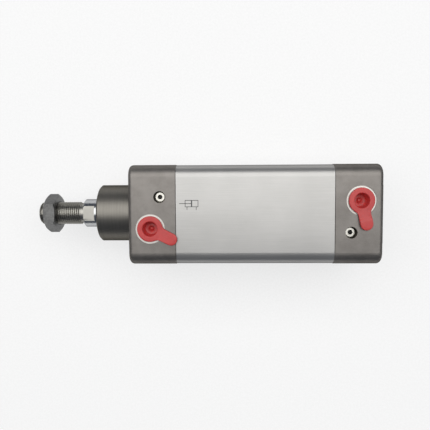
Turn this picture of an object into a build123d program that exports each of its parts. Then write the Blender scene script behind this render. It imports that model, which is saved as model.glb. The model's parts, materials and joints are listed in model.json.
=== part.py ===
from build123d import *
import math
import os

# Double-acting profile cylinder, lying on its back with both ports facing up.
# The origin is the centre of the front head's mounting face, on the rod's axis.
# +X points the way the rod extends, +Z the way the ports face. Sizes are in millimetres.
# All pieces are drawn with the rod retracted.

# Cylinder
bore = 50.0
stroke = 60.0
head_length = 31.5
spigot_length = 9.0
piston_end_gap = 0.2

# Heads
long_edge_radius = 8.0
end_edge_radius = 3.0
port_pad_width = 38.0
port_pad_height = 0.3
collar_diameter = 40.0
collar_length = 25.0
collar_chamfer = 1.0
pilot_diameter = 40.0
pilot_depth = 4.0
spigot_clearance = 0.1
cavity_gap = 1.5
cavity_floor_depth = 9.0
seam_chamfer = 0.4

# Tube
tube_step = 0.25
slot_offset = 13.0
slot_mouth_width = 5.2
slot_lip = 1.7
slot_inner_width = 7.6
slot_depth = 5.3
slot_bottom_chamfer = 1.0

# Collar screws, with the mounting thread in their heads
screw_web = 4.48
screw_head_diameter = 12.8
screw_outer_wall = 3.35
screw_head_length = 21.0
screw_recess = 0.3
screw_shank_diameter = 6.6
screw_grip = 14.0
screw_clearance = 0.1
shank_hole_clearance = 0.3
mounting_thread_diameter = 6.8
screw_socket_width = 5.0
screw_socket_depth = 3.0
screw_socket_floor = 1.0
screw_edge = 0.6

# Ports
port_depth_from_face = 14.5
port_offset = 9.0
port_thread_diameter = 11.445
port_thread_depth = 13.0
port_chamfer = 0.9
port_duct_diameter = 9.0
spot_face_diameter = 19.3
spot_face_depth = 0.5

# Cushion screws
needle_depth_from_face = 20.8
needle_offset = 11.8
needle_bore_diameter = 7.7
needle_running_gap = 0.05
needle_sink = 3.8
needle_head_length = 7.2
needle_head_chamfer = 0.9
needle_socket_width = 3.0
needle_socket_depth = 2.5
needle_thread_diameter = 5.0
needle_thread_length = 5.5
needle_cone_length = 1.6
needle_base_diameter = 3.2
needle_tip_diameter = 0.7
needle_below_screw = 1.0
needle_in_orifice = 0.2
orifice_diameter = 2.5
bypass_drop = 1.4
needle_ring_section = 1.05
needle_groove_width = 1.4
needle_groove_from_top = 3.4

# Seals and bearings in the heads
rod_running_gap = 0.05
bush_wall = 2.0
bush_edge = 0.4
bush_end_gap = 0.4
ring_seat_fit = 0.02
wiper_height = 4.45
wiper_thickness = 9.5
wiper_shell = 1.6
wiper_groove_depth = 2.2
wiper_lip_reach = 1.2
wiper_lip_land = 3.0
wiper_relief = 0.6
cushion_seal_wall = 3.0
cushion_seal_length = 4.0
cushion_seal_lead = 1.2
cushion_seal_step = 1.0
spigot_lead = 1.0
head_ring_section = 2.1
head_ring_groove_width = 2.8
head_ring_from_seam = 3.2
ring_fit = 0.05

# Piston rod
rod_diameter = 20.0
rod_shoulder_from_collar = 12.0
rod_thread_diameter = 16.0
rod_thread_length = 32.0
rod_thread_chamfer = 1.2
rod_neck_drop = 1.1
rod_neck_length = 2.5
rod_shoulder_chamfer = 0.6
wrench_flat_cut = 1.5
wrench_flat_length = 8.0
centre_hole_diameter = 4.0
centre_hole_depth = 2.4
spindle_diameter = 14.0
spindle_thread_step = 1.0
spindle_end_gap = 0.2
spindle_tip_chamfer = 1.0

# Rod nut
rod_nut_width = 24.0
rod_nut_thickness = 8.0
rod_nut_from_tip = 4.7
nut_thread_gap = 0.05
nut_hole_chamfer = 0.5

# Piston
piston_play = 0.5
piston_edge = 0.5
piston_land = 1.9
guide_ring_width = 7.9
guide_ring_thickness = 1.5
guide_side_gap = 0.15
magnet_width = 4.0
magnet_height = 6.3
magnet_gap = 0.1
lip_seal_width = 4.4
lip_seal_height = 5.3
lip_seal_side_gap = 0.1
lip_seal_flange = 1.7
lip_seal_lip = 1.1
lip_seal_notch = 2.6
lip_seal_slope = 0.25
piston_ring_section = 1.9
piston_ring_recess = 2.2

# Cushion sleeves and the piston nut
sleeve_wall = 2.0
sleeve_length = 20.0
sleeve_lead = 3.0
sleeve_lead_drop = 0.8
sleeve_grip_on_rod = 4.0
piston_nut_clearance = 1.6
piston_nut_width = 18.0
piston_nut_thickness = 8.0
piston_nut_sink = 1.0

# Transport plugs
plug_flange_margin = 1.25
plug_flange_thickness = 1.6
plug_seat_gap = 0.05
plug_stem_gap = 0.07
plug_stem_length = 8.0
plug_stem_taper = 0.35
plug_wall = 0.8
plug_floor = 1.2
plug_nub_diameter = 2.2
plug_nub_height = 1.6
plug_edge = 0.4
tab_reach = 19.4
tab_width = 8.5
tab_thickness = 1.3
tab_lift = 0.2
front_tab_angle = 154.0
rear_tab_angle = 101.0

# Sizes that follow from those above. The standard gives the screw spacing to a tenth.
bore_radius = bore / 2
tie_hole_radius = screw_shank_diameter / 2 + screw_clearance
shank_hole_radius = screw_shank_diameter / 2 + shank_hole_clearance
bolt_spacing = round(math.sqrt(2) * (bore_radius + screw_web + tie_hole_radius), 1)
bolt_offset = bolt_spacing / 2
mounting_thread_depth = screw_head_length - screw_socket_depth - screw_socket_floor
head_width = bolt_spacing + screw_head_diameter + 2 * screw_outer_wall
tube_width = head_width - 2 * tube_step
head_top = head_width / 2
spigot_end = head_length + spigot_length
spigot_radius = bore_radius - spigot_clearance
seal_groove_width = lip_seal_width + 2 * lip_seal_side_gap
guide_groove_width = guide_ring_width + 2 * guide_side_gap
piston_length = guide_groove_width + 2 * (piston_land + seal_groove_width + lip_seal_flange)
zero_stroke_length = 2 * (spigot_end + piston_end_gap) + piston_length
body_length = zero_stroke_length + stroke
tube_length = body_length - 2 * head_length
rod_radius = rod_diameter / 2
piston_rear = -body_length + spigot_end + piston_end_gap
piston_front = piston_rear + piston_length
piston_middle = (piston_rear + piston_front) / 2
piston_radius = bore_radius - piston_play
nut_recess_radius = piston_nut_width / math.sqrt(3) + piston_nut_clearance
sleeve_radius = nut_recess_radius + sleeve_wall
cavity_radius = sleeve_radius + cavity_gap
cushion_seal_inner = sleeve_radius + rod_running_gap
cushion_seal_outer = cushion_seal_inner + cushion_seal_wall
cushion_seal_seat = cushion_seal_outer + ring_seat_fit
bush_inner = rod_radius + rod_running_gap
bush_outer = bush_inner + bush_wall
wiper_outer = bush_inner + wiper_height
wiper_back = collar_length - wiper_thickness
bush_front = wiper_back - bush_end_gap
head_ring_radius = bore_radius - 2 * ring_fit - head_ring_section / 2
spindle_radius = spindle_diameter / 2
spindle_thread_radius = spindle_radius - spindle_thread_step
wrench_flat_width = rod_diameter - 2 * wrench_flat_cut
rod_shoulder_reach = collar_length + rod_shoulder_from_collar
rod_tip = rod_shoulder_reach + rod_thread_length
rod_nut_reach = rod_tip - rod_nut_from_tip - rod_nut_thickness
needle_top = head_top - needle_sink
needle_shoulder = needle_top - needle_head_length
needle_thread_end = needle_shoulder - needle_thread_length
needle_tip = needle_thread_end - needle_cone_length
orifice_mouth = needle_tip + needle_in_orifice
spot_face_top = head_top - spot_face_depth
plug_flange_radius = spot_face_diameter / 2 - plug_flange_margin


# Shapes that many pieces share

def turned(*points):
    outline = Polyline(*points, close=True)
    return revolve(make_face(outline), axis=Axis.X)


def turned_upright(x, y, *points):
    outline = Polyline(*[(radius, height) for height, radius in points], close=True)
    return Pos(x, y, 0) * revolve(make_face(Plane.XZ * outline), axis=Axis.Z)


def bar_along_x(radius, x_from, x_to, y=0.0, z=0.0):
    middle = (x_from + x_to) / 2
    return Pos(middle, y, z) * Rot(0, 90, 0) * Cylinder(radius, abs(x_to - x_from))


def bar_upright(radius, z_from, z_to, x, y):
    return Pos(x, y, (z_from + z_to) / 2) * Cylinder(radius, abs(z_to - z_from))


def prism_along_x(sketch, x_from, x_to):
    return extrude(Plane.YZ.offset(x_from) * sketch, amount=x_to - x_from)


def hexagon(width_across_flats):
    return RegularPolygon(width_across_flats / 2, 6, major_radius=False)


def round_ring(ring_radius, section_diameter):
    return Torus(ring_radius, section_diameter / 2)


def chamfered_nut(width, thickness, x_from, hole_radius):
    corner_radius = width / math.sqrt(3)
    corner_drop = (corner_radius - width / 2) * math.tan(math.radians(30))
    x_to = x_from + thickness
    blank = prism_along_x(hexagon(width), x_from, x_to)
    envelope = turned(
        (x_from, 0),
        (x_from, width / 2),
        (x_from + corner_drop, corner_radius),
        (x_to - corner_drop, corner_radius),
        (x_to, width / 2),
        (x_to, 0),
    )
    hole = turned(
        (x_from, 0),
        (x_from, hole_radius + nut_hole_chamfer),
        (x_from + nut_hole_chamfer, hole_radius),
        (x_to - nut_hole_chamfer, hole_radius),
        (x_to, hole_radius + nut_hole_chamfer),
        (x_to, 0),
    )
    return blank & envelope - hole


def corner_places():
    return [(y, z) for y in (-bolt_offset, bolt_offset) for z in (-bolt_offset, bolt_offset)]


# The rear end repeats the front end, turned half a turn about the upright line
# through the middle of the body, so its port and cushion screw swap sides.
rear_end = Pos(-body_length, 0, 0) * Rot(0, 0, 180)


# Heads

def head_block():
    low_height = head_width - port_pad_height
    section = Pos(0, -port_pad_height / 2) * RectangleRounded(head_width, low_height, long_edge_radius)
    block = prism_along_x(section, -head_length, 0)
    block = fillet(block.faces().sort_by(Axis.X)[-1].edges(), end_edge_radius)
    block = chamfer(block.faces().sort_by(Axis.X)[0].edges(), seam_chamfer)
    pad_zone = Pos(-head_length / 2, 0, head_width / 4) * Box(head_length, port_pad_width, head_width / 2)
    pad = (Pos(0, 0, port_pad_height) * block) & pad_zone
    return block + pad


def port_cut():
    x = -port_depth_from_face
    thread_radius = port_thread_diameter / 2
    thread_floor = head_top - port_thread_depth
    mouth = turned_upright(
        x,
        port_offset,
        (head_top + 1, 0),
        (head_top + 1, spot_face_diameter / 2),
        (spot_face_top, spot_face_diameter / 2),
        (spot_face_top, thread_radius + port_chamfer),
        (spot_face_top - port_chamfer, thread_radius),
        (thread_floor, thread_radius),
        (thread_floor, 0),
    )
    duct = bar_upright(port_duct_diameter / 2, 0, thread_floor, x, port_offset)
    return mouth + duct


def cushion_screw_cut():
    x = -needle_depth_from_face
    y = -needle_offset
    bore_floor = needle_shoulder - needle_below_screw
    tap_radius = needle_thread_diameter / 2 + needle_running_gap
    stepped_hole = turned_upright(
        x,
        y,
        (head_top + 1, 0),
        (head_top + 1, needle_bore_diameter / 2),
        (bore_floor, needle_bore_diameter / 2),
        (bore_floor, tap_radius),
        (orifice_mouth, tap_radius),
        (orifice_mouth, orifice_diameter / 2),
        (0, orifice_diameter / 2),
        (0, 0),
    )
    bypass_height = orifice_mouth + bypass_drop
    bypass = bar_along_x(orifice_diameter / 2, -spigot_end - 1, x, y, bypass_height)
    return stepped_hole + bypass


def screw_cuts():
    cuts = []
    floor = -screw_recess - screw_head_length
    for y, z in corner_places():
        cuts.append(bar_along_x(screw_head_diameter / 2 + screw_clearance, floor, 1, y, z))
        cuts.append(bar_along_x(shank_hole_radius, -head_length - 1, floor + 1, y, z))
    return cuts


def shared_head():
    groove_middle = -head_length - head_ring_from_seam
    groove_radius = head_ring_radius - head_ring_section / 2 - ring_fit
    spigot = turned(
        (-head_length + 1, 0),
        (-head_length + 1, spigot_radius),
        (groove_middle + head_ring_groove_width / 2, spigot_radius),
        (groove_middle + head_ring_groove_width / 2, groove_radius),
        (groove_middle - head_ring_groove_width / 2, groove_radius),
        (groove_middle - head_ring_groove_width / 2, spigot_radius),
        (-spigot_end + spigot_lead, spigot_radius),
        (-spigot_end, spigot_radius - spigot_lead),
        (-spigot_end, 0),
    )
    cavity = turned(
        (-cavity_floor_depth, 0),
        (-cavity_floor_depth, cavity_radius),
        (-spigot_end + cushion_seal_length, cavity_radius),
        (-spigot_end + cushion_seal_length, cushion_seal_seat),
        (-spigot_end - 1, cushion_seal_seat),
        (-spigot_end - 1, 0),
    )
    head = head_block() + spigot
    head = head - cavity - port_cut() - cushion_screw_cut()
    for cut in screw_cuts():
        head = head - cut
    return head


def front_head():
    collar = turned(
        (-end_edge_radius - 1, 0),
        (-end_edge_radius - 1, collar_diameter / 2),
        (collar_length - collar_chamfer, collar_diameter / 2),
        (collar_length, collar_diameter / 2 - collar_chamfer),
        (collar_length, 0),
    )
    wiper_seat = wiper_outer + ring_seat_fit
    rod_passage = turned(
        (-cavity_floor_depth - 1, 0),
        (-cavity_floor_depth - 1, bush_outer + ring_seat_fit),
        (wiper_back, bush_outer + ring_seat_fit),
        (wiper_back, wiper_seat),
        (collar_length + 1, wiper_seat),
        (collar_length + 1, 0),
    )
    return shared_head() + collar - rod_passage


def rear_head():
    pilot = bar_along_x(pilot_diameter / 2, -body_length - 1, -body_length + pilot_depth)
    return rear_end * shared_head() - pilot


# Tube

def sensor_slot(side, height):
    half_mouth = slot_mouth_width / 2
    half_inner = slot_inner_width / 2
    surface = tube_width / 2
    corners = [
        (surface + 1, half_mouth),
        (surface - slot_lip, half_mouth),
        (surface - slot_lip, half_inner),
        (surface - slot_depth + slot_bottom_chamfer, half_inner),
        (surface - slot_depth, half_inner - slot_bottom_chamfer),
    ]
    mirrored = [(across, -along) for across, along in reversed(corners)]
    outline = [(side * across, height + along) for across, along in corners + mirrored]
    return make_face(Polyline(*outline, close=True))


def profile_tube():
    section = RectangleRounded(tube_width, tube_width, long_edge_radius)
    section -= Circle(bore_radius)
    for y, z in corner_places():
        section -= Pos(y, z) * Circle(tie_hole_radius)
    for side in (-1, 1):
        for height in (-slot_offset, slot_offset):
            section -= sensor_slot(side, height)
    return prism_along_x(section, -head_length - tube_length, -head_length)


# Collar screws

def head_screws():
    front = -screw_recess
    seat = front - screw_head_length
    tip = -head_length - screw_grip
    head_radius = screw_head_diameter / 2
    thread_radius = mounting_thread_diameter / 2
    thread_floor = front - mounting_thread_depth
    blank = turned(
        (front, 0),
        (front, head_radius - screw_edge),
        (front - screw_edge, head_radius),
        (seat, head_radius),
        (seat, screw_shank_diameter / 2),
        (tip + screw_edge, screw_shank_diameter / 2),
        (tip, screw_shank_diameter / 2 - screw_edge),
        (tip, 0),
    )
    thread = turned(
        (front + 1, 0),
        (front + 1, thread_radius + screw_edge),
        (front, thread_radius + screw_edge),
        (front - screw_edge, thread_radius),
        (thread_floor, thread_radius),
        (thread_floor, 0),
    )
    socket = prism_along_x(hexagon(screw_socket_width), thread_floor - screw_socket_depth, thread_floor)
    screw = blank - thread - socket
    return [Pos(0, y, z) * screw for y, z in corner_places()]


# Rings and bearings in the heads

def rod_bush():
    rear = -cavity_floor_depth
    return turned(
        (rear, bush_inner + bush_edge),
        (rear, bush_outer - bush_edge),
        (rear + bush_edge, bush_outer),
        (bush_front - bush_edge, bush_outer),
        (bush_front, bush_outer - bush_edge),
        (bush_front, bush_inner + bush_edge),
        (bush_front - bush_edge, bush_inner),
        (rear + bush_edge, bush_inner),
    )


def rod_wiper_seal():
    inner = bush_inner
    outer = wiper_outer
    face = collar_length
    groove_floor = face - wiper_groove_depth
    groove_outer = outer - wiper_shell
    relief = inner + wiper_relief
    return turned(
        (wiper_back, inner + wiper_shell),
        (wiper_back, outer),
        (face, outer),
        (face, groove_outer),
        (groove_floor, groove_outer - wiper_relief),
        (groove_floor, inner + wiper_shell),
        (face + wiper_lip_reach, relief),
        (face + wiper_lip_reach, inner),
        (face - wiper_lip_land, relief),
        (wiper_back + wiper_lip_land, relief),
        (wiper_back + wiper_relief, inner),
    )


def cushion_seal():
    inner = cushion_seal_inner
    outer = cushion_seal_outer
    mouth = -spigot_end
    back = mouth + cushion_seal_length
    step_start = back - cushion_seal_step
    return turned(
        (mouth, inner + cushion_seal_lead),
        (mouth, outer),
        (back, outer),
        (back, inner + cushion_seal_step),
        (step_start, inner + cushion_seal_step),
        (step_start, inner),
        (mouth + cushion_seal_lead, inner),
    )


def head_ring():
    place = Pos(-head_length - head_ring_from_seam, 0, 0) * Rot(0, 90, 0)
    return place * round_ring(head_ring_radius, head_ring_section)


# Cushion screws

def needle_head_radius():
    return needle_bore_diameter / 2 - needle_running_gap


def needle_groove_radius():
    return needle_head_radius() - needle_ring_section - needle_running_gap


def cushion_screw():
    head_radius = needle_head_radius()
    groove_top = needle_top - needle_groove_from_top
    groove_bottom = groove_top - needle_groove_width
    screw = turned_upright(
        -needle_depth_from_face,
        -needle_offset,
        (needle_top, 0),
        (needle_top, head_radius - needle_head_chamfer),
        (needle_top - needle_head_chamfer, head_radius),
        (groove_top, head_radius),
        (groove_top, needle_groove_radius()),
        (groove_bottom, needle_groove_radius()),
        (groove_bottom, head_radius),
        (needle_shoulder, head_radius),
        (needle_shoulder, needle_thread_diameter / 2),
        (needle_thread_end, needle_thread_diameter / 2),
        (needle_thread_end, needle_base_diameter / 2),
        (needle_tip, needle_tip_diameter / 2),
        (needle_tip, 0),
    )
    socket_place = Pos(-needle_depth_from_face, -needle_offset, needle_top - needle_socket_depth)
    socket = socket_place * extrude(hexagon(needle_socket_width), amount=needle_socket_depth + 1)
    return screw - socket


def cushion_screw_ring():
    ring_radius = needle_head_radius() - needle_ring_section / 2
    height = needle_top - needle_groove_from_top - needle_groove_width / 2
    return Pos(-needle_depth_from_face, -needle_offset, height) * round_ring(ring_radius, needle_ring_section)


# Piston rod with what is clamped on it

def piston_rod():
    thread_radius = rod_thread_diameter / 2
    neck_radius = thread_radius - rod_neck_drop
    shoulder = rod_shoulder_reach
    step = piston_front + sleeve_length - sleeve_grip_on_rod
    rear_tip = piston_rear - sleeve_length
    spindle_end = rear_tip + piston_nut_sink + piston_nut_thickness + spindle_end_gap
    rod = turned(
        (rod_tip - centre_hole_depth, 0),
        (rod_tip, centre_hole_diameter / 2),
        (rod_tip, thread_radius - rod_thread_chamfer),
        (rod_tip - rod_thread_chamfer, thread_radius),
        (shoulder + rod_neck_length, thread_radius),
        (shoulder + rod_neck_length, neck_radius),
        (shoulder, neck_radius),
        (shoulder, rod_radius - rod_shoulder_chamfer),
        (shoulder - rod_shoulder_chamfer, rod_radius),
        (step, rod_radius),
        (step, spindle_radius),
        (spindle_end, spindle_radius),
        (spindle_end, spindle_thread_radius),
        (rear_tip + spindle_tip_chamfer, spindle_thread_radius),
        (rear_tip, spindle_thread_radius - spindle_tip_chamfer),
        (rear_tip, 0),
    )
    flat_depth = rod_diameter
    flat_middle = shoulder - wrench_flat_length / 2
    for side in (-1, 1):
        across = side * (wrench_flat_width + flat_depth) / 2
        rod -= Pos(flat_middle, 0, across) * Box(wrench_flat_length, rod_diameter, flat_depth)
    return rod


def rod_nut():
    return chamfered_nut(rod_nut_width, rod_nut_thickness, rod_nut_reach, rod_thread_diameter / 2 + nut_thread_gap)


def piston_nut():
    start = piston_rear - sleeve_length + piston_nut_sink
    hole = spindle_thread_radius + nut_thread_gap
    return chamfered_nut(piston_nut_width, piston_nut_thickness, start, hole)


def guide_inner_radius():
    return bore_radius - rod_running_gap - guide_ring_thickness


def magnet_inner_radius():
    return guide_inner_radius() - magnet_gap - magnet_height


def lip_inner_radius():
    return bore_radius - rod_running_gap - lip_seal_height


def piston_half(side, bore_recess_radius, bore_recess_depth):
    half = piston_length / 2
    hole = spindle_radius + rod_running_gap
    pocket = magnet_width / 2 + magnet_gap / 2
    guide_seat = guide_groove_width / 2
    seal_outer = half - lip_seal_flange
    seal_inner = seal_outer - seal_groove_width
    steps = [
        (0, bore_recess_radius),
        (0, magnet_inner_radius() - magnet_gap / 2),
        (pocket, magnet_inner_radius() - magnet_gap / 2),
        (pocket, guide_inner_radius() - rod_running_gap),
        (guide_seat, guide_inner_radius() - rod_running_gap),
        (guide_seat, piston_radius),
        (seal_inner, piston_radius),
        (seal_inner, lip_inner_radius() - rod_running_gap),
        (seal_outer, lip_inner_radius() - rod_running_gap),
        (seal_outer, piston_radius),
        (half - piston_edge, piston_radius),
        (half, piston_radius - piston_edge),
        (half, hole),
        (bore_recess_depth, hole),
    ]
    if bore_recess_depth > 0:
        steps.append((bore_recess_depth, bore_recess_radius))
    return turned(*[(piston_middle + side * across, radius) for across, radius in steps])


def piston_ring_outer():
    return spindle_radius + rod_running_gap + piston_ring_section


def piston_magnet():
    half = magnet_width / 2
    inner = magnet_inner_radius()
    outer = guide_inner_radius() - magnet_gap
    return turned(
        (piston_middle - half, inner),
        (piston_middle - half, outer),
        (piston_middle + half, outer),
        (piston_middle + half, inner),
    )


def piston_guide_ring():
    half = guide_ring_width / 2
    inner = guide_inner_radius()
    outer = inner + guide_ring_thickness
    return turned(
        (piston_middle - half, inner),
        (piston_middle - half, outer),
        (piston_middle + half, outer),
        (piston_middle + half, inner),
    )


def piston_lip_seal(side):
    outer = bore_radius - rod_running_gap
    inner = lip_inner_radius()
    back = piston_length / 2 - lip_seal_flange - lip_seal_side_gap - lip_seal_width
    front = back + lip_seal_width
    notch = front - lip_seal_notch
    steps = [
        (back, inner),
        (back, outer - 2 * lip_seal_slope),
        (back + lip_seal_slope, outer - lip_seal_slope),
        (front, outer),
        (front, outer - lip_seal_lip),
        (notch, outer - 2 * lip_seal_lip),
        (notch, inner + 2 * lip_seal_lip),
        (front, inner + lip_seal_lip),
        (front, inner),
    ]
    return turned(*[(piston_middle + side * across, radius) for across, radius in steps])


def piston_bore_ring():
    ring_radius = spindle_radius + rod_running_gap + piston_ring_section / 2
    return Pos(piston_middle + piston_ring_recess / 2, 0, 0) * Rot(0, 90, 0) * round_ring(
        ring_radius, piston_ring_section
    )


def front_cushion_sleeve():
    back = piston_front
    front = back + sleeve_length
    step = front - sleeve_grip_on_rod
    return turned(
        (back, spindle_radius + rod_running_gap),
        (back, sleeve_radius),
        (front - sleeve_lead, sleeve_radius),
        (front, sleeve_radius - sleeve_lead_drop),
        (front, rod_radius + rod_running_gap),
        (step, rod_radius + rod_running_gap),
        (step, spindle_radius + rod_running_gap),
    )


def rear_cushion_sleeve():
    front = piston_rear
    back = front - sleeve_length
    floor = back + piston_nut_sink + piston_nut_thickness
    return turned(
        (front, spindle_radius + rod_running_gap),
        (front, sleeve_radius),
        (back + sleeve_lead, sleeve_radius),
        (back, sleeve_radius - sleeve_lead_drop),
        (back, nut_recess_radius),
        (floor, nut_recess_radius),
        (floor, spindle_radius + rod_running_gap),
    )


# Transport plugs

def port_plug(tab_angle):
    seat = spot_face_top + plug_seat_gap
    top = seat + plug_flange_thickness
    stem_radius = port_thread_diameter / 2 - plug_stem_gap
    stem_end = seat - plug_stem_length
    tip_radius = stem_radius - plug_stem_taper
    floor = stem_end + plug_floor
    mouth_radius = stem_radius - plug_wall + plug_edge
    cup = turned_upright(
        0,
        0,
        (floor + plug_nub_height, 0),
        (floor + plug_nub_height, plug_nub_diameter / 2),
        (floor, plug_nub_diameter / 2),
        (floor, tip_radius - plug_wall),
        (top - plug_edge, stem_radius - plug_wall),
        (top, mouth_radius),
        (top, plug_flange_radius - plug_edge),
        (top - plug_edge, plug_flange_radius),
        (seat, plug_flange_radius),
        (seat, stem_radius),
        (stem_end + plug_edge, tip_radius),
        (stem_end, tip_radius - plug_edge),
        (stem_end, 0),
    )
    tab_centre = tab_reach - tab_width / 2
    outline = Pos(tab_centre / 2, 0) * Rectangle(tab_centre, tab_width)
    outline += Pos(tab_centre, 0) * Circle(tab_width / 2)
    tab = Pos(0, 0, head_top + tab_lift) * extrude(outline, amount=tab_thickness)
    tab = fillet(tab.faces().sort_by(Axis.Z)[-1].edges(), plug_edge)
    tab = tab - bar_upright(mouth_radius, stem_end, top + tab_thickness, 0, 0)
    plug = cup + tab
    return Pos(-port_depth_from_face, port_offset, 0) * Rot(0, 0, tab_angle) * plug


# Every node with its solids

nodes = {
    "profile_tube": [profile_tube()],
    "front_head": [front_head()],
    "rear_head": [rear_head()],
    "rod_bush": [rod_bush()],
    "rod_wiper_seal": [rod_wiper_seal()],
    "piston_rod": [piston_rod()],
    "rod_nut": [rod_nut()],
    "piston_nut": [piston_nut()],
    "front_piston_half": [piston_half(1, piston_ring_outer() + ring_fit, piston_ring_recess)],
    "rear_piston_half": [piston_half(-1, spindle_radius + rod_running_gap, 0)],
    "piston_magnet": [piston_magnet()],
    "piston_guide_ring": [piston_guide_ring()],
    "front_piston_seal": [piston_lip_seal(1)],
    "rear_piston_seal": [piston_lip_seal(-1)],
    "piston_bore_ring": [piston_bore_ring()],
    "front_cushion_sleeve": [front_cushion_sleeve()],
    "rear_cushion_sleeve": [rear_cushion_sleeve()],
}

for end, place, tab_angle in (("front", Pos(0, 0, 0), front_tab_angle), ("rear", rear_end, rear_tab_angle - 180)):
    nodes[f"{end}_head_screws"] = [place * screw for screw in head_screws()]
    nodes[f"{end}_cushion_seal"] = [place * cushion_seal()]
    nodes[f"{end}_head_ring"] = [place * head_ring()]
    nodes[f"{end}_cushion_screw"] = [place * cushion_screw()]
    nodes[f"{end}_cushion_screw_ring"] = [place * cushion_screw_ring()]
    nodes[f"{end}_port_plug"] = [place * port_plug(tab_angle)]

os.makedirs("parts", exist_ok=True)
for name, solids in nodes.items():
    solid = solids[0] if len(solids) == 1 else Compound(children=solids)
    export_step(solid, f"parts/{name}.step")
    print(name, len(solids))
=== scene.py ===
import json
import math

import bmesh
import bpy
from mathutils import Matrix, Vector


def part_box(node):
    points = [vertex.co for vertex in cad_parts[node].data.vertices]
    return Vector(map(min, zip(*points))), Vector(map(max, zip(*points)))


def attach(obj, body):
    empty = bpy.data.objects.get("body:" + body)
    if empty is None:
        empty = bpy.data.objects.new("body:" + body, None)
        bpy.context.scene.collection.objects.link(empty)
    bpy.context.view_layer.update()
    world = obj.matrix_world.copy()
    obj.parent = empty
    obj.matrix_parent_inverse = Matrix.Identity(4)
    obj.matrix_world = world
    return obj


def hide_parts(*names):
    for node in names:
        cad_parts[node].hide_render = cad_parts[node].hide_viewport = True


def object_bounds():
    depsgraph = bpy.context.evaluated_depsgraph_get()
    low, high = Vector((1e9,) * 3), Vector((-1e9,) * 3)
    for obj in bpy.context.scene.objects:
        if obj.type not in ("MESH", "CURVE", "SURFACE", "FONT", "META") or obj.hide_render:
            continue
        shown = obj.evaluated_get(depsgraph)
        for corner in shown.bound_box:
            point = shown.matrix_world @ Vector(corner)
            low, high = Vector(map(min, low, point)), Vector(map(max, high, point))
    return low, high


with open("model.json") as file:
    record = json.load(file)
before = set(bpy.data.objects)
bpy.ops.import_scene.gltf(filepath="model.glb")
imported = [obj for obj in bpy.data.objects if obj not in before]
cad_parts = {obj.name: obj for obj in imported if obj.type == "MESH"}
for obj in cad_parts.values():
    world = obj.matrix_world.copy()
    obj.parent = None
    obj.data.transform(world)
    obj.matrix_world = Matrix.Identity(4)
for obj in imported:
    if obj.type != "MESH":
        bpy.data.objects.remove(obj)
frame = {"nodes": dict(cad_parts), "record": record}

cadBox = [list(corner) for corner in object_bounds()]
nodes = frame["nodes"]
scene = bpy.context.scene
mm = 0.001
fullTurn = 2 * math.pi
bodyLength = 166 * mm  # from end face to end face
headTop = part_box("front_head")[1][2] / mm  # height of the port face over the rod's axis
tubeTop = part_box("profile_tube")[1][2] / mm


# Camera, floor and light

photoView = {
    "imageCentre": (-57.0, 0.0, 32.5),  # the point near the port face in the middle of the photo, mm
    "distance": 300,
    "lens": 38.6,
    "leanToUpperSide": 3.3,  # degrees
    "leanToRod": -1.5,
    "roll": -0.3,
}


def placeCamera(view):
    lean, swing = math.radians(view["leanToUpperSide"]), math.radians(view["leanToRod"])
    back = Vector((math.sin(swing), -math.sin(lean), math.cos(lean))).normalized()
    right = Vector((0, -1, 0)).cross(back).normalized()
    up = back.cross(right)
    roll = Matrix.Rotation(math.radians(view["roll"]), 3, back)
    right, up = roll @ right, roll @ up
    camera = bpy.data.objects.new("photoCamera", bpy.data.cameras.new("photoCamera"))
    camera.data.lens = view["lens"]
    camera.data.sensor_width = 36
    camera.data.clip_start = 0.01
    scene.collection.objects.link(camera)
    spot = (Vector(view["imageCentre"]) + back * view["distance"]) * mm
    camera.matrix_world = Matrix.Translation(spot) @ Matrix((right, up, back)).transposed().to_4x4()
    scene.camera = camera


lamps = {
    "overheadSoftbox": {
        "at": (-0.05, -0.36, 0.85),  # metres, shining straight down
        "size": (2.0, 0.98),
        "level": 2.05,
        "color": (1.0, 0.99, 0.965),
    },
}
sky = {"level": 0.10, "color": (0.82, 0.92, 1.14, 1)}


def placeLamps():
    for name, lamp in lamps.items():
        light = bpy.data.lights.new(name, "AREA")
        light.shape = "RECTANGLE"
        light.size, light.size_y = lamp["size"]
        light.energy = lamp["level"] * math.pi * light.size * light.size_y
        light.color = lamp["color"]
        holder = bpy.data.objects.new(name, light)
        scene.collection.objects.link(holder)
        holder.location = lamp["at"]
        holder.visible_camera = False
    air = bpy.data.worlds.new("studioAir")
    air.use_nodes = True
    air.node_tree.nodes["Background"].inputs["Color"].default_value = sky["color"]
    air.node_tree.nodes["Background"].inputs["Strength"].default_value = sky["level"]
    scene.world = air


scene.view_settings.view_transform = "Standard"
placeCamera(photoView)
placeLamps()
print("camera and lamps placed")


# Node tools for the finishes

def tone(red, green, blue):
    # a colour read as 0 to 255 in the photo, as Blender's linear values
    shares = [v / 255 for v in (red, green, blue)]
    return tuple(s / 12.92 if s <= 0.04045 else ((s + 0.055) / 1.055) ** 2.4 for s in shares) + (1.0,)


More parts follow.
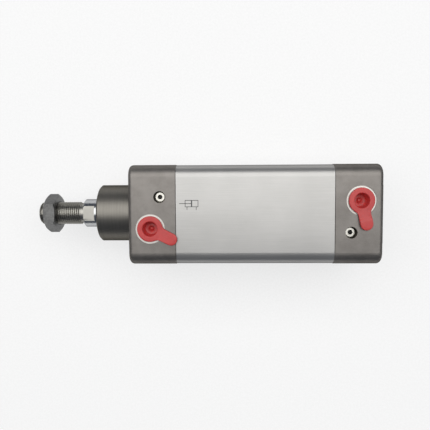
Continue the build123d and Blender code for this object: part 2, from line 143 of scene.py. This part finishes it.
class Wire:
    # an output in a finish's node tree; sums written with it become Math nodes
    def __init__(self, finish, socket):
        self.finish = finish
        self.socket = socket

    def math(self, operation, first, second=0.0):
        return self.finish.math(operation, first, second)

    def __add__(self, other):
        return self.math("ADD", self, other)

    def __radd__(self, other):
        return self.math("ADD", other, self)

    def __sub__(self, other):
        return self.math("SUBTRACT", self, other)

    def __rsub__(self, other):
        return self.math("SUBTRACT", other, self)

    def __mul__(self, other):
        return self.math("MULTIPLY", self, other)

    def __rmul__(self, other):
        return self.math("MULTIPLY", other, self)

    def __truediv__(self, other):
        return self.math("DIVIDE", self, other)

    def __rtruediv__(self, other):
        return self.math("DIVIDE", other, self)

    def __pow__(self, other):
        return self.math("POWER", self, other)

    def __rpow__(self, other):
        return self.math("POWER", other, self)

    def __lt__(self, other):
        return self.math("LESS_THAN", self, other)

    def __gt__(self, other):
        return self.math("GREATER_THAN", self, other)

    def __abs__(self):
        return self.math("ABSOLUTE", self)


class Finish:
    def __init__(self, name, shown):
        self.material = bpy.data.materials.new(name)
        self.material.use_nodes = True
        self.material.diffuse_color = shown
        self.tree = self.material.node_tree
        self.tree.nodes.clear()
        self.place = self.node("ShaderNodeTexCoord", output="Object")
        split = self.node("ShaderNodeSeparateXYZ", inputs={0: self.place}).socket.node
        self.x, self.y, self.z = [Wire(self, split.outputs[axis]) for axis in "XYZ"]

    def node(self, kind, settings=None, inputs=None, output=0):
        made = self.tree.nodes.new(kind)
        for key, value in (settings or {}).items():
            setattr(made, key, value)
        for key, value in (inputs or {}).items():
            if isinstance(value, Wire):
                self.tree.links.new(value.socket, made.inputs[key])
            else:
                made.inputs[key].default_value = value
        return Wire(self, made.outputs[output])

    def math(self, operation, first, second=0.0):
        return self.node("ShaderNodeMath", {"operation": operation}, {0: first, 1: second})

    def sine(self, value):
        return self.math("SINE", value)

    def most(self, *masks):
        highest = masks[0]
        for mask in masks[1:]:
            highest = self.math("MAXIMUM", highest, mask)
        return highest

    def noise(self, perMetre, detail=3.0, roughness=0.55, stretch=(1, 1, 1)):
        settings = {"operation": "MULTIPLY"}
        stretched = self.node("ShaderNodeVectorMath", settings, {0: self.place, 1: stretch})
        values = {"Vector": stretched, "Scale": perMetre, "Detail": detail, "Roughness": roughness}
        return self.node("ShaderNodeTexNoise", inputs=values)

    def spread(self, value, low, high):
        # 0 below low, 1 above high, eased between
        values = {"Value": value, "From Min": low, "From Max": high}
        return self.node("ShaderNodeMapRange", {"interpolation_type": "SMOOTHSTEP"}, values)

    def mix(self, mask, first, second):
        return self.node("ShaderNodeMix", {"data_type": "RGBA"}, {0: mask, 6: first, 7: second}, 2)

    def between(self, mask, first, second):
        return mask * second + (1 - mask) * first

    def radius(self, first, second, centre=(0, 0)):
        return ((first - centre[0]) ** 2.0 + (second - centre[1]) ** 2.0) ** 0.5

    def asFront(self):
        # which points are on the rear half, and all points' x and y as if on the front head
        rear = self.x < -bodyLength / 2
        return rear, self.between(rear, self.x, -bodyLength - self.x), self.y * (1 - rear * 2)

    def bump(self, height, distance, strength=1.0, below=None):
        values = {"Height": height, "Distance": distance, "Strength": strength}
        if below is not None:
            values["Normal"] = below
        return self.node("ShaderNodeBump", inputs=values)

    def surface(self, color, roughness, metallic, normal=None, **plain):
        values = {"Base Color": color, "Roughness": roughness, "Metallic": metallic}
        values.update({key.replace("_", " "): value for key, value in plain.items()})
        if normal is not None:
            values["Normal"] = normal
        return self.end(self.node("ShaderNodeBsdfPrincipled", inputs=values))

    def end(self, shader):
        last = self.tree.nodes.new("ShaderNodeOutputMaterial")
        self.tree.links.new(shader.socket, last.inputs["Surface"])
        return self.material


# Finishes

tubeLook = {
    "light": tone(186, 185, 183),
    "dark": tone(173, 172, 170),
    "roughness": 0.36,
    "metallic": 0.78,  # the rest is the milky anodised layer
    # the edge tint is painted shade: a dark tint on the glancing reflection darkens the tube's rounded
    # edges
    "paintedEdgeShade": (0.05, 0.05, 0.06, 1),
    "drawLine": 0.004 * mm,
    "frost": 0.010 * mm,
}


def anodisedTube(look):
    f = Finish("satin_anodised", look["light"])
    lines = f.noise(60, 4, 0.7, (0.6, 60, 60))  # die lines along the extrusion
    cloud = f.noise(28, 3)
    frost = f.noise(5200, 2)
    shade = f.spread(lines * 0.45 + cloud * 0.35 + frost * 0.2, 0.36, 0.66)
    color = f.mix(shade, look["dark"], look["light"])
    roughness = look["roughness"] + (lines - 0.5) * 0.10 + (frost - 0.5) * 0.06
    relief = f.bump(frost, look["frost"], 0.5, f.bump(lines, look["drawLine"], 0.8))
    return f.surface(color, roughness, look["metallic"], relief, Specular_Tint=look["paintedEdgeShade"])


headLook = {
    "cast": tone(140, 136, 132),
    "castDark": tone(122, 118, 114),
    "machined": tone(205, 203, 198),
    "turned": tone(136, 133, 127),
    "turnedDark": tone(118, 115, 109),
    "grain": 0.035 * mm,
    # the edge tint is painted shade: a dark tint on the glancing reflection darkens the heads' rounded
    # edges
    "paintedEdgeShade": (0.10, 0.10, 0.10, 1),
    "port": (-14.5 * mm, 9.0 * mm),
    "screw": (-20.8 * mm, -11.8 * mm),
    "spotFaceRadius": 9.66 * mm,
    "portRadius": 5.80 * mm,
    "screwBoreRadius": 3.87 * mm,
    "threadPitch": 1.337 * mm,
    "turningFeed": 0.22 * mm,
}


def blastedCasting(look):
    f = Finish("blasted_casting", look["cast"])
    rear, x, y = f.asFront()
    fromPort = f.radius(x, y, look["port"])
    fromScrew = f.radius(x, y, look["screw"])
    fromAxis = f.radius(f.y, f.z)
    above = f.z > 20 * mm
    onSeat = (f.z > (headTop - 1) * mm) * (f.z < (headTop - 0.3) * mm)
    spotFace = (fromPort < look["spotFaceRadius"]) * onSeat
    portBore = (fromPort < look["portRadius"]) * above
    screwBore = (fromScrew < look["screwBoreRadius"]) * above
    collar = x > 0.3 * mm
    pilot = (fromAxis < 20.3 * mm) * (x > -4.4 * mm) * rear
    machined = f.most(spotFace, portBore)
    turned = f.most(collar, pilot, screwBore)
    smooth = f.most(machined, turned)

    grain = f.noise(2600, 4, 0.6)
    cloud = f.noise(55, 4)
    blotch = f.noise(210, 3, 0.6)
    shade = f.spread(grain * 0.35 + cloud * 0.4 + blotch * 0.25, 0.36, 0.64)
    cast = f.mix(shade, look["castDark"], look["cast"])
    color = f.mix(machined, cast, look["machined"])
    streaks = f.noise(900, 3, 0.6, (1, 0.05, 0.05))
    turnedColor = f.mix(streaks, look["turnedDark"], look["turned"])
    color = f.mix(turned, color, turnedColor)

    matt = 0.45 + (grain - 0.5) * 0.2 + (blotch - 0.5) * 0.1
    roughness = f.between(smooth, matt, 0.42 + (cloud - 0.5) * 0.1)
    metallic = f.between(smooth, 0.88, 0.95)
    toolMark = fullTurn / look["turningFeed"]
    circles = f.sine(fromPort * toolMark) * spotFace
    feed = f.sine(x * toolMark) * collar
    winding = f.math("ARCTAN2", y - look["port"][1], x - look["port"][0])
    thread = f.sine(f.z * (fullTurn / look["threadPitch"]) - winding) * portBore
    relief = f.bump(grain * (1 - smooth), look["grain"], 0.8)
    relief = f.bump(circles + feed, 0.006 * mm, 0.5, relief)
    relief = f.bump(thread, 0.35 * mm, 1.0, relief)
    return f.surface(color, roughness, metallic, relief, Specular_Tint=look["paintedEdgeShade"])


rodLook = {
    "chrome": tone(200, 201, 202),
    "chromeDark": tone(184, 185, 186),
    "thread": tone(168, 166, 160),
    # the edge tint is painted shade: a grey tint on the glancing reflection darkens the rod's edges
    "paintedEdgeShade": (0.35, 0.35, 0.36, 1),
    "shoulder": 37.0 * mm,
    "flatStart": 29.0 * mm,
}


def groundChrome(look):
    f = Finish("hard_chrome", look["chrome"])
    onThread = f.x > look["shoulder"] - 0.1 * mm
    onFlat = (f.x > look["flatStart"]) * (abs(f.z) < 8.52 * mm) * (abs(f.z) > 8.48 * mm)
    plain = f.most(onThread, onFlat)
    hone = f.noise(2400, 3, 0.6, (1, 0.06, 0.06))  # grinding marks round the rod
    haze = f.noise(90, 3)
    shade = f.spread(hone * 0.5 + haze * 0.5, 0.3, 0.7)
    color = f.mix(shade, look["chromeDark"], look["chrome"])
    color = f.mix(plain, color, look["thread"])
    roughness = f.between(plain, 0.16 + hone * 0.08 + haze * 0.05, 0.32 + haze * 0.1)
    relief = f.bump(hone, 0.002 * mm, 0.5)
    return f.surface(color, roughness, 1.0, relief, Specular_Tint=look["paintedEdgeShade"])


def workedMetal(name, light, dark, roughness, metallic=1.0, perMetre=700, stretch=(1, 1, 1)):
    f = Finish(name, light)
    marks = f.noise(perMetre, 4, 0.6, stretch)
    cloud = f.noise(perMetre / 6, 3)
    color = f.mix(f.spread(marks * 0.55 + cloud * 0.45, 0.35, 0.65), dark, light)
    rough = roughness + (marks - 0.5) * 0.14 + (cloud - 0.5) * 0.08
    return f.surface(color, rough, metallic, f.bump(marks, 0.006 * mm, 0.6))


def softMatter(name, light, dark, roughness, perMetre=900, relief=0.01 * mm, **plain):
    f = Finish(name, light)
    fine = f.noise(perMetre * 4, 3, 0.6)
    cloud = f.noise(perMetre / 5, 3)
    color = f.mix(f.spread(fine * 0.4 + cloud * 0.6, 0.35, 0.65), dark, light)
    rough = roughness + (fine - 0.5) * 0.10 + (cloud - 0.5) * 0.10
    return f.surface(color, rough, 0.0, f.bump(fine, relief, 0.5), **plain)


finishes = {
    "anodised_aluminium": anodisedTube(tubeLook),
    "cast_aluminium": blastedCasting(headLook),
    "chromed_steel": groundChrome(rodLook),
    "plated_steel": workedMetal("bright_plating", tone(196, 194, 184), tone(164, 161, 150), 0.30),
    "dark_steel": workedMetal("phosphated_steel", tone(120, 120, 119), tone(92, 92, 92), 0.40, 0.9),
    "bronze": workedMetal("sintered_bronze", tone(176, 140, 92), tone(140, 106, 66), 0.45),
    "seal_rubber": softMatter("black_rubber", tone(44, 44, 45), tone(30, 30, 31), 0.55),
    "seal_polyurethane": softMatter("green_polyurethane", tone(58, 92, 78), tone(46, 76, 64), 0.38),
    "guide_plastic": softMatter("guide_plastic", tone(205, 198, 182), tone(190, 182, 165), 0.5),
    "piston_aluminium": workedMetal(
        "turned_aluminium", tone(204, 204, 204), tone(180, 180, 180), 0.30, 1.0, 1500, (1, 0.06, 0.06)
    ),
    "magnet": softMatter("pressed_magnet", tone(60, 60, 63), tone(44, 44, 47), 0.6),
    "plug_plastic": softMatter(
        "red_polythene", tone(206, 72, 70), tone(190, 58, 58), 0.40, 500, 0.012 * mm,
        Subsurface_Weight=0.15, Subsurface_Scale=0.002,
    ),
}


needleLook = {
    "rim": tone(208, 206, 200),
    "rimDark": tone(180, 178, 170),
    # socket: painted shade inside the hex socket
    "socket": tone(66, 65, 63),
    "socketReach": 1.76 * mm,
    "socketBelowFace": 3.92,  # mm
}


def needleSteel(look):
    f = Finish("needle_screw_steel", look["rim"])
    rear, x, y = f.asFront()
    # the hex socket below its mouth is painted dark and rough: painted shade in the recess
    below = f.z < (headTop - look["socketBelowFace"]) * mm
    inside = (f.radius(x, y, headLook["screw"]) < look["socketReach"]) * below
    marks = f.noise(1600, 3, 0.6)
    color = f.mix(f.spread(marks, 0.35, 0.65), look["rimDark"], look["rim"])
    color = f.mix(inside, color, look["socket"])
    roughness = f.between(inside, 0.26 + (marks - 0.5) * 0.1, 0.6 + (marks - 0.5) * 0.1)
    return f.surface(color, roughness, 0.95, f.bump(marks, 0.006 * mm, 0.5))


for part in frame["record"]["subparts"]:
    mesh = nodes[part["node"]].data
    mesh.materials.clear()
    mesh.materials.append(finishes[part["material_slot"]])
for name in ("front_cushion_screw", "rear_cushion_screw"):
    nodes[name].data.materials[0] = needleSteel(needleLook)
print("finishes made:", len(finishes))


# Mesh tools

rearTurn = Matrix.Translation((-bodyLength, 0, 0)) @ Matrix.Rotation(math.pi, 4, "Z")


def arc(low, high, steps):
    return [low + (high - low) * step / steps for step in range(steps)]


def onRing(x, reach, angle):
    return x * mm, reach * math.cos(angle) * mm, reach * math.sin(angle) * mm


def rings(shape, rows, angles):
    # closed rings along x, one for each (x, radius) in mm; a radius of 0 is one point
    made = []
    for x, radius in rows:
        if radius == 0:
            made.append([shape.verts.new((x * mm, 0, 0))] * len(angles))
            continue
        ring = []
        for angle in angles:
            reach = radius(angle) if callable(radius) else radius
            ring.append(shape.verts.new(onRing(x, reach, angle)))
        made.append(ring)
    joinRings(shape, made)


def joinRings(shape, made):
    for near, far in zip(made, made[1:]):
        for this in range(len(near)):
            following = (this + 1) % len(near)
            corners = list(dict.fromkeys([near[this], near[following], far[following], far[this]]))
            if len(corners) > 2:
                shape.faces.new(corners)


def threadRows(shape, angles, cut):
    # a helical strip whose rows follow the thread, clipped to start and end
    pitch, start, end = cut["pitch"], cut["start"], cut["end"]
    outside = cut["crest"] > cut["root"]
    limit, slope = (min, 1) if outside else (max, -1)
    profile = [(0, cut["root"]), (0.25, cut["root"]), (0.5625, cut["crest"]), (0.6875, cut["crest"])]
    turns = math.ceil((end - start) / pitch) + 2
    strip = []
    for row in range(4 * (turns + 2)):
        turn, step = divmod(row, 4)
        line = []
        for angle in angles:
            x = start + (turn - 1 + profile[step][0] + angle / fullTurn) * pitch
            x = min(max(x, start), end)
            atStart = cut["startRadius"] + slope * (x - start)
            atEnd = cut["endRadius"] + slope * (end - x)
            reach = limit(profile[step][1], atStart, atEnd)
            line.append(shape.verts.new(onRing(x, reach, angle)))
        strip.append(line)
    for row in range(len(strip) - 5):
        # each row goes on in the first point of the row one turn later
        near, far = strip[row] + strip[row + 4][:1], strip[row + 1] + strip[row + 5][:1]
        for this in range(len(angles)):
            shape.faces.new([near[this], near[this + 1], far[this + 1], far[this]])


def finishPiece(shape, name, body, slot, standsFor, creaseDegrees):
    bmesh.ops.remove_doubles(shape, verts=shape.verts, dist=0.0000008)
    bmesh.ops.dissolve_degenerate(shape, edges=shape.edges, dist=0.0000008)
    bmesh.ops.recalc_face_normals(shape, faces=shape.faces)
    mesh = bpy.data.meshes.new(name)
    shape.to_mesh(mesh)
    shape.free()
    mesh.polygons.foreach_set("use_smooth", [True] * len(mesh.polygons))
    mesh.set_sharp_from_angle(angle=math.radians(creaseDegrees))
    mesh.materials.append(finishes[slot])
    piece = bpy.data.objects.new(name, mesh)
    scene.collection.objects.link(piece)
    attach(piece, body)
    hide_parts(standsFor)


# Piston rod, with its thread and wrench flats

rodSizes = {
    "radius": 10.0,
    "shoulder": 37.0,
    "edge": 0.6,
    "flatStart": 29.0,
    "halfFlat": 8.5,
    "neckRadius": 6.9,
    "neckLength": 2.5,
    "tip": 69.0,
    "tipChamfer": 1.2,
    "centreHole": (2.0, 2.4),
    "thread": {"crest": 8.0, "root": 7.08, "pitch": 1.5},
    "spindleRadius": 7.0,
    "step": -84.7,
    "spindleEnd": -136.1,
    "rearThreadRadius": 6.0,
    "rearTip": -145.3,
    "creaseDegrees": 28,
}


def buildRod(sizes):
    flatAngle = math.asin(sizes["halfFlat"] / sizes["radius"])
    corners = [-flatAngle, flatAngle, math.pi - flatAngle, math.pi + flatAngle, fullTurn - flatAngle]
    angles = []
    for low, high, steps in zip(corners, corners[1:], (28, 16, 28, 16)):
        angles += arc(low, high, steps)

    def flatted(radius):
        return lambda angle: min(radius, sizes["halfFlat"] / max(abs(math.sin(angle)), 1e-6))

    shape = bmesh.new()
    neckEnd = sizes["shoulder"] + sizes["neckLength"]
    rear = [
        (sizes["rearTip"], 0),
        (sizes["rearTip"], sizes["rearThreadRadius"] - 1),
        (sizes["rearTip"] + 1, sizes["rearThreadRadius"]),
        (sizes["spindleEnd"], sizes["rearThreadRadius"]),
        (sizes["spindleEnd"], sizes["spindleRadius"]),
        (sizes["step"], sizes["spindleRadius"]),
        (sizes["step"], sizes["radius"]),
        (sizes["flatStart"], sizes["radius"]),
        (sizes["flatStart"], flatted(sizes["radius"])),
        (sizes["shoulder"] - sizes["edge"], flatted(sizes["radius"])),
        (sizes["shoulder"], flatted(sizes["radius"] - sizes["edge"])),
        (sizes["shoulder"], sizes["neckRadius"]),
        (neckEnd, sizes["neckRadius"]),
        (neckEnd, sizes["thread"]["root"]),
    ]
    rings(shape, rear, angles)
    cut = dict(sizes["thread"], start=neckEnd, end=sizes["tip"])
    cut["startRadius"] = cut["root"]
    cut["endRadius"] = cut["crest"] - sizes["tipChamfer"]
    threadRows(shape, angles, cut)
    holeRadius, holeDepth = sizes["centreHole"]
    tip = [(sizes["tip"], cut["endRadius"]), (sizes["tip"], holeRadius), (sizes["tip"] - holeDepth, 0)]
    rings(shape, tip, angles)
    crease = sizes["creaseDegrees"]
    finishPiece(shape, "threadedPistonRod", "piston_and_rod", "chromed_steel", "piston_rod", crease)


buildRod(rodSizes)
print("piston rod made")


# Collar screws, four at each end, tapped inside their heads

screwSizes = {
    "offset": 23.25,
    "front": -0.3,
    "headRadius": 6.4,
    "seat": -21.3,
    "shankRadius": 3.3,
    "tip": -45.5,
    "edge": 0.6,
    "thread": {"crest": 3.4, "root": 4.08, "pitch": 1.25},
    "threadDepth": 17.0,
    "mouthRadius": 4.25,
    "halfSocket": 2.5,
    "socketDepth": 3.0,
    "creaseDegrees": 32,
}


def addScrew(shape, sizes, y, z):
    angles = arc(0, fullTurn, 48)

    def socket(angle):
        return sizes["halfSocket"] / math.cos((angle + math.pi / 6) % (math.pi / 3) - math.pi / 6)

    first = len(shape.verts)
    front, core, edge = sizes["front"], sizes["thread"]["crest"], sizes["edge"]
    floor = front - sizes["threadDepth"]
    cut = dict(sizes["thread"], start=floor + 2, end=front)
    cut["startRadius"], cut["endRadius"] = cut["root"] + 0.02, sizes["mouthRadius"]
    inside = [
        (floor - sizes["socketDepth"], 0),
        (floor - sizes["socketDepth"], socket),
        (floor, socket),
        (floor, core),
        (cut["start"] - 0.7, core),
        (cut["start"], cut["startRadius"]),
    ]
    outside = [
        (front, cut["endRadius"]),
        (front, sizes["headRadius"] - edge),
        (front - edge, sizes["headRadius"]),
        (sizes["seat"], sizes["headRadius"]),
        (sizes["seat"], sizes["shankRadius"]),
        (sizes["tip"] + edge, sizes["shankRadius"]),
        (sizes["tip"], sizes["shankRadius"] - edge),
        (sizes["tip"], 0),
    ]
    rings(shape, inside, angles)
    threadRows(shape, angles, cut)
    rings(shape, outside, angles)
    shape.verts.ensure_lookup_table()
    bmesh.ops.translate(shape, verts=shape.verts[first:], vec=(0, y * mm, z * mm))


for end, turn in (("front", Matrix.Identity(4)), ("rear", rearTurn)):
    shape = bmesh.new()
    for y in (-1, 1):
        for z in (-1, 1):
            addScrew(shape, screwSizes, y * screwSizes["offset"], z * screwSizes["offset"])
    bmesh.ops.transform(shape, matrix=turn, verts=shape.verts)
    crease = screwSizes["creaseDegrees"]
    finishPiece(shape, end + "CollarScrews", "barrel", "plated_steel", end + "_head_screws", crease)
print("collar screws made")


# Transport plugs, their heights counted from the port face

plugSizes = {
    "points": 120,
    "flangeRadius": 8.4,
    "seat": -0.45,
    "flangeTop": 1.15,
    "edge": 0.45,
    "tabStart": 7.0,
    "tabStartRadius": 4.15,
    "tabEnd": 15.4,
    "tabEndRadius": 4.0,
    "softness": 1.6,
    "tabTop": 1.5,
    "tabUnder": 0.2,
    "padRise": 0.35,
    "padStart": 11.0,
    "mouthRadius": 4.85,
    "wall": 0.8,
    "stemRadius": 5.65,
    "stemTipRadius": 5.30,
    "stemEnd": -8.45,
    "floor": -7.25,
    "nubRadius": 1.1,
    "nubTop": -5.65,
    "creaseDegrees": 50,
}


def ease(value, low, high):
    share = min(max((value - low) / (high - low), 0), 1)
    return share * share * (3 - 2 * share)


def plugOutline(sizes):
    def outside(point):
        disc = point.length - sizes["flangeRadius"]
        run = sizes["tabEnd"] - sizes["tabStart"]
        share = min(max((point.x - sizes["tabStart"]) / run, 0), 1)
        nearest = Vector((sizes["tabStart"] + share * run, 0))
        width = sizes["tabStartRadius"] + share * (sizes["tabEndRadius"] - sizes["tabStartRadius"])
        tab = (point - nearest).length - width
        mix = max(sizes["softness"] - abs(disc - tab), 0) / sizes["softness"]
        return min(disc, tab) - mix * mix * sizes["softness"] / 4

    fine = []
    for step in range(720):
        angle = fullTurn * step / 720
        way = Vector((math.cos(angle), math.sin(angle)))
        low, high = 6.0, 24.0
        for _ in range(30):
            middle = (low + high) / 2
            low, high = (middle, high) if outside(way * middle) < 0 else (low, middle)
        fine.append(way * low)
    reach = [0.0]
    for here, following in zip(fine, fine[1:] + fine[:1]):
        reach.append(reach[-1] + (following - here).length)
    even = []
    step = 0
    for index in range(sizes["points"]):
        wanted = reach[-1] * index / sizes["points"]
        while reach[step + 1] < wanted:
            step += 1
        share = (wanted - reach[step]) / (reach[step + 1] - reach[step])
        even.append(fine[step].lerp(fine[(step + 1) % 720], share))
    return even


def buildPlug(sizes, name, body, turn, standsFor):
    outline = plugOutline(sizes)
    count = len(outline)
    inward = []
    for index, point in enumerate(outline):
        along = outline[(index + 1) % count] - outline[index - 1]
        inward.append(Vector((-along.y, along.x)).normalized())
    ways = [point.normalized() for point in outline]
    shape = bmesh.new()
    made = []

    def pole(height):
        made.append([shape.verts.new((0, 0, height * mm))] * count)

    def circle(radius, height):
        reach = radius * mm
        made.append([shape.verts.new((way.x * reach, way.y * reach, height * mm)) for way in ways])

    def top(point):
        onTab = ease(point.x, 7.2, 9.2)
        onPad = ease(point.x, sizes["padStart"], sizes["padStart"] + 1.6)
        onRim = sizes["flangeTop"] + onTab * (sizes["tabTop"] - sizes["flangeTop"])
        return onRim + onPad * sizes["padRise"]

    def under(point):
        onTab = ease(point.length, sizes["flangeRadius"], 9.3)
        return sizes["seat"] + onTab * (sizes["tabUnder"] - sizes["seat"])

    def loop(fromRadius, share, inset, height):
        ring = []
        for index in range(count):
            rim = outline[index] + inward[index] * inset
            point = (ways[index] * fromRadius).lerp(rim, share)
            ring.append(shape.verts.new((point.x * mm, point.y * mm, height(point) * mm)))
        made.append(ring)

    edge, wall = sizes["edge"], sizes["wall"]
    pole(sizes["nubTop"])
    circle(sizes["nubRadius"] - 0.3, sizes["nubTop"])
    circle(sizes["nubRadius"], sizes["nubTop"] - 0.3)
    circle(sizes["nubRadius"] + 0.2, sizes["floor"] + 0.3)
    circle(sizes["nubRadius"] + 0.6, sizes["floor"])
    circle(sizes["stemTipRadius"] - wall - 0.5, sizes["floor"])
    circle(sizes["stemTipRadius"] - wall, sizes["floor"] + 0.5)
    circle(sizes["mouthRadius"], sizes["flangeTop"] - edge)
    for step in (1, 2):
        angle = math.pi / 2 * step / 3
        rise = sizes["flangeTop"] - edge + edge * math.sin(angle)
        circle(sizes["mouthRadius"] + edge * (1 - math.cos(angle)), rise)
    start = sizes["mouthRadius"] + edge
    for share in (0, 0.12, 0.25, 0.38, 0.5, 0.62, 0.74, 0.86, 1.0):
        loop(start, share, edge, top)
    for step in (1, 2, 3):
        angle = math.pi / 2 * step / 3
        loop(start, 1, edge * (1 - math.sin(angle)), lambda p: top(p) - edge * (1 - math.cos(angle)))
    loop(start, 1, 0, lambda p: under(p) + edge * 0.6)
    loop(start, 1, edge * 0.6, under)
    for share in (0.86, 0.72, 0.58, 0.44, 0.3, 0.15, 0):
        loop(sizes["stemRadius"], share, edge * 0.6, under)
    circle(sizes["stemTipRadius"], sizes["stemEnd"] + edge)
    circle(sizes["stemTipRadius"] - edge, sizes["stemEnd"])
    pole(sizes["stemEnd"])
    joinRings(shape, made)
    bmesh.ops.transform(shape, matrix=turn, verts=shape.verts)
    finishPiece(shape, name, body, "plug_plastic", standsFor, sizes["creaseDegrees"])


plugs = {
    "front": {"head": Matrix.Identity(4), "tabDegrees": 154, "sizes": plugSizes},
    "rear": {"head": rearTurn, "tabDegrees": -79, "sizes": dict(plugSizes, padRise=0.9, tabEndRadius=4.1)},
}
portPlace = Matrix.Translation((*headLook["port"], headTop * mm))
for end, plug in plugs.items():
    turn = plug["head"] @ portPlace @ Matrix.Rotation(math.radians(plug["tabDegrees"]), 4, "Z")
    buildPlug(plug["sizes"], end + "TransportPlug", end + "_plug", turn, end + "_port_plug")
print("transport plugs made")


# Circuit symbol printed on the tube: a double-acting cylinder

symbolSizes = {
    "corner": (-37.6, -5.4),  # its lower left corner as the photo shows the tube, part's x and y in mm
    "stroke": 0.38,
    "thickness": 0.02,
    "sunk": 0.005,
}


def symbolStrokes(sizes):
    # left, low, right and high side of each line, with squared ends
    lines = [(0, 0, 8.4, 0), (0, 4.2, 8.4, 4.2), (0, 0, 0, 4.2), (8.4, 0, 8.4, 4.2)]  # barrel
    lines += [(4.0, 0, 4.0, 4.2), (4.4, 0, 4.4, 4.2), (-3.8, 2.1, 4.0, 2.1)]  # piston and rod
    lines += [(1.2, -1.8, 1.2, 0), (7.2, -1.8, 7.2, 0)]  # ports
    half = sizes["stroke"] / 2
    return [(left - half, low - half, right + half, high + half) for left, low, right, high in lines]


def printSymbol(sizes):
    ink = softMatter("printing_ink", tone(48, 48, 50), tone(60, 60, 62), 0.5)
    strokes = symbolStrokes(sizes)
    columns = sorted({side for left, low, right, high in strokes for side in (left, right)})
    rows = sorted({side for left, low, right, high in strokes for side in (low, high)})
    cornerX, cornerY = sizes["corner"]
    shape = bmesh.new()
    crossings = {}

    def crossing(u, v):
        if (u, v) not in crossings:
            spot = Vector((cornerX - u, cornerY - v, tubeTop - sizes["sunk"])) * mm
            crossings[u, v] = shape.verts.new(spot)
        return crossings[u, v]

    # the cells between the lines' sides that some line covers, so that nothing overlaps
    for left, right in zip(columns, columns[1:]):
        for low, high in zip(rows, rows[1:]):
            u, v = (left + right) / 2, (low + high) / 2
            if any(s[0] < u < s[2] and s[1] < v < s[3] for s in strokes):
                cell = [(left, low), (right, low), (right, high), (left, high)]
                shape.faces.new([crossing(*place) for place in cell])
    raised = bmesh.ops.extrude_face_region(shape, geom=shape.faces[:])["geom"]
    upper = [item for item in raised if isinstance(item, bmesh.types.BMVert)]
    bmesh.ops.translate(shape, verts=upper, vec=(0, 0, sizes["thickness"] * mm))
    bmesh.ops.recalc_face_normals(shape, faces=shape.faces)
    mesh = bpy.data.meshes.new("printedSymbol")
    shape.to_mesh(mesh)
    shape.free()
    mesh.materials.append(ink)
    piece = bpy.data.objects.new("printedSymbol", mesh)
    scene.collection.objects.link(piece)
    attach(piece, "barrel")


printSymbol(symbolSizes)
print("symbol printed")


# Floor

floorLook = {
    "paper": tone(255, 255, 255),
    "shade": tone(252, 252, 252),
    "whitening": 0.7,
    "width": 8.0,
    "parts": 16,
}


def layFloor(look):
    f = Finish("studio_paper", look["paper"])
    fibres = f.noise(700, 4, 0.6)
    color = f.mix(f.spread(fibres, 0.35, 0.65), look["shade"], look["paper"])
    rays = f.node("ShaderNodeLightPath")
    kinds = ("Is Camera Ray", "Is Glossy Ray", "Is Transmission Ray")
    whitened = f.most(*[Wire(f, rays.socket.node.outputs[kind]) for kind in kinds]) * look["whitening"]
    values = {"Color": color, "Roughness": 0.9, "Normal": f.bump(fibres, 0.02 * mm, 0.3)}
    diffuse = f.node("ShaderNodeBsdfDiffuse", inputs=values)
    glow = f.node("ShaderNodeEmission", inputs={"Color": color, "Strength": 1.0})
    paper = f.end(f.node("ShaderNodeMixShader", inputs={0: whitened, 1: diffuse, 2: glow}))
    shape = bmesh.new()
    bmesh.ops.create_grid(shape, x_segments=look["parts"], y_segments=look["parts"], size=look["width"] / 2)
    bmesh.ops.translate(shape, verts=shape.verts, vec=(0, 0, cadBox[0][2] - 0.02 * mm))
    mesh = bpy.data.meshes.new("studioFloor")
    shape.to_mesh(mesh)
    shape.free()
    mesh.materials.append(paper)
    floor = bpy.data.objects.new("studioFloor", mesh)
    scene.collection.objects.link(floor)


layFloor(floorLook)
print("floor laid")
